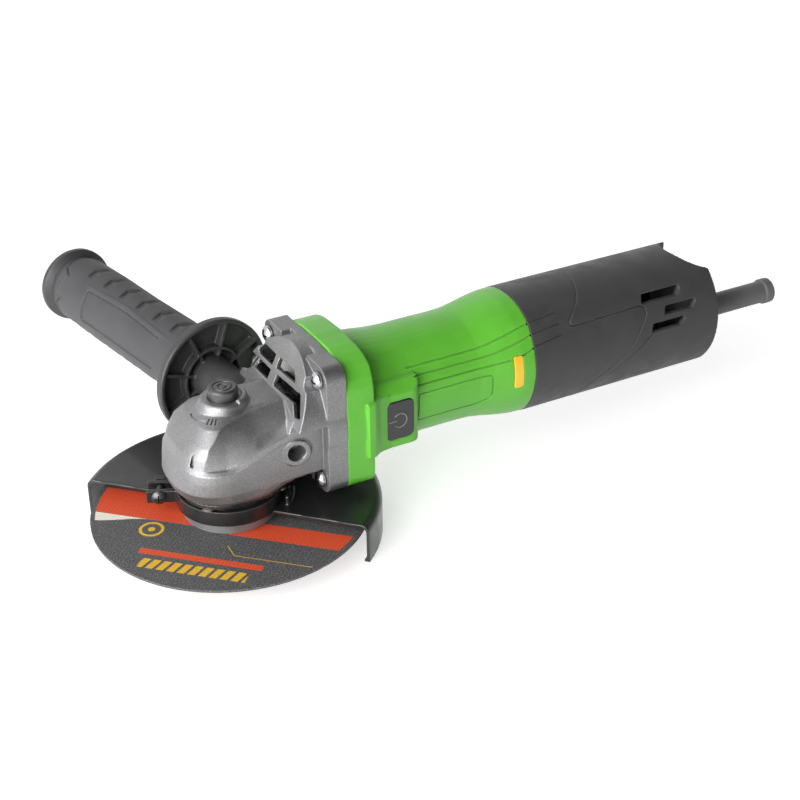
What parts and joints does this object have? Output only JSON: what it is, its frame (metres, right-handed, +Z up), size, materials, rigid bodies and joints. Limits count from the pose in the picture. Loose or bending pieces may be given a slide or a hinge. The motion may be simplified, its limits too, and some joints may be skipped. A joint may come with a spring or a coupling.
{
  "type": "angle grinder",
  "caption": "Corded angle grinder with bevel gear head, sheet guard, screw-in side handle, brushless motor in a slim barrel housing and push-button controls.",
  "frame": {"origin": "on the spindle axis, at the face of the inner flange that the disc seats on", "axes": "+X to the rear along the motor axis, +Y towards the side handle, +Z up through the spindle-lock button"},
  "size_m": [0.3655, 0.2507, 0.088],
  "materials": {
    "case_alloy": "dark grey die casting, matt",
    "retainer_alloy": "die casting, matt",
    "green_shell": "bright green glass-filled nylon, fine grain",
    "black_shell": "charcoal glass-filled nylon",
    "dark_moulding": "moulded",
    "button_cover": "moulded rubber",
    "amber_lens": "clear amber, gloss",
    "soft_rubber": "matt",
    "handle_nylon": "moulded nylon, fine grain",
    "grip_rubber": "soft overmould",
    "guard_paint": "black powder coat, satin",
    "black_fastener": "blackened",
    "steel": "machined",
    "dark_steel": "hardened and oiled",
    "bright_steel": "ground",
    "bronze": "sintered bronze",
    "abrasive": "resin-bonded grit and glass cloth",
    "laminated_steel": "stacked steel sheet",
    "magnet": "nickel plated",
    "copper_wire": "enamelled copper wire",
    "pale_nylon": "moulded",
    "circuit_board": "solder resist",
    "heat_sink_alloy": "extruded",
    "component_plastic": "moulded"
  },
  "bodies": {
    "tool": {"gear_case": "case_alloy", "gear_case_screws": "black_fastener", "lock_spring": "steel", "spindle_bush": "bronze", "spindle_bearing_outer": "bright_steel", "bearing_retainer": "retainer_alloy", "retainer_screws": "steel", "dust_seal": "soft_rubber", "motor_housing": "green_shell", "air_baffle": "dark_moulding", "front_bearing_outer": "bright_steel", "rear_bearing_outer": "bright_steel", "stator_core": "laminated_steel", "stator_windings": "copper_wire", "stator_insulators": "pale_nylon", "sensor_board": "circuit_board", "rear_sleeve": "black_shell", "rear_cap": "black_shell", "rear_cover_screws": "black_fastener", "electronics_tray": "dark_moulding", "control_board": "circuit_board", "heat_sink": "heat_sink_alloy", "capacitor": "component_plastic", "power_transistors": "component_plastic", "button_switch": "dark_moulding", "status_lens": "amber_lens", "strain_relief": "soft_rubber", "cord_clamp": "dark_moulding", "clamp_screws": "steel"},
    "spindle": {"spindle": "steel", "crown_gear": "dark_steel", "gear_circlip": "steel", "spindle_bearing_inner": "bright_steel", "inner_flange": "steel", "cutting_disc": "abrasive", "lock_nut": "dark_steel"},
    "rotor": {"rotor_shaft": "steel", "pinion": "dark_steel", "pinion_nut": "steel", "fan": "pale_nylon", "rotor_core": "laminated_steel", "rotor_magnets": "magnet", "front_bearing_inner": "bright_steel", "rear_bearing_inner": "bright_steel"},
    "spindle_lock": {"lock_button": "bright_steel", "lock_pin": "steel"},
    "guard": {"guard_shell": "guard_paint", "guard_collar": "guard_paint", "clamp_screw": "black_fastener", "clamp_nut": "black_fastener"},
    "handle_thread": {"handle_stud": "steel"},
    "side_handle": {"handle_core": "handle_nylon", "handle_grip": "grip_rubber"},
    "power_switch_button": {"power_button": "button_cover", "button_plunger": "dark_moulding"}
  },
  "joints": [
    {"name": "spindle_spin", "type": "hinge", "parent": "tool", "child": "spindle", "pos_m": [0, 0, 0], "axis": [0, 0, 1], "continuous": true},
    {"name": "rotor_spin", "type": "hinge", "parent": "tool", "child": "rotor", "pos_m": [0, 0, 0.043], "axis": [1, 0, 0], "continuous": true},
    {"name": "lock_press", "type": "slide", "parent": "tool", "child": "spindle_lock", "axis": [0, 0, -1], "range_m": [0, 0.0032], "stiffness_N_per_m": 600, "springref_m": -0.003, "deforming": ["lock_spring"]},
    {"name": "guard_turn", "type": "hinge", "parent": "tool", "child": "guard", "pos_m": [0, 0, 0], "axis": [0, 0, 1], "range_deg": [-60, 60]},
    {"name": "handle_unscrew", "type": "slide", "parent": "tool", "child": "handle_thread", "axis": [-0.1736, 0.9848, 0], "range_m": [0, 0.01]},
    {"name": "handle_turn", "type": "hinge", "parent": "handle_thread", "child": "side_handle", "pos_m": [0.0212, 0.0276, 0.0365], "axis": [-0.1736, 0.9848, 0], "range_deg": [0, 2880]},
    {"name": "power_press", "type": "slide", "parent": "tool", "child": "power_switch_button", "axis": [0, 1, 0], "range_m": [0, 0.0012], "stiffness_N_per_m": 2500, "springref_m": -0.0008}
  ],
  "couplings": [
    {"joint": "rotor_spin", "follows": "spindle_spin", "ratio": 3.3636},
    {"joint": "handle_turn", "follows": "handle_unscrew", "rad_per_m": 5026.5}
  ]
}
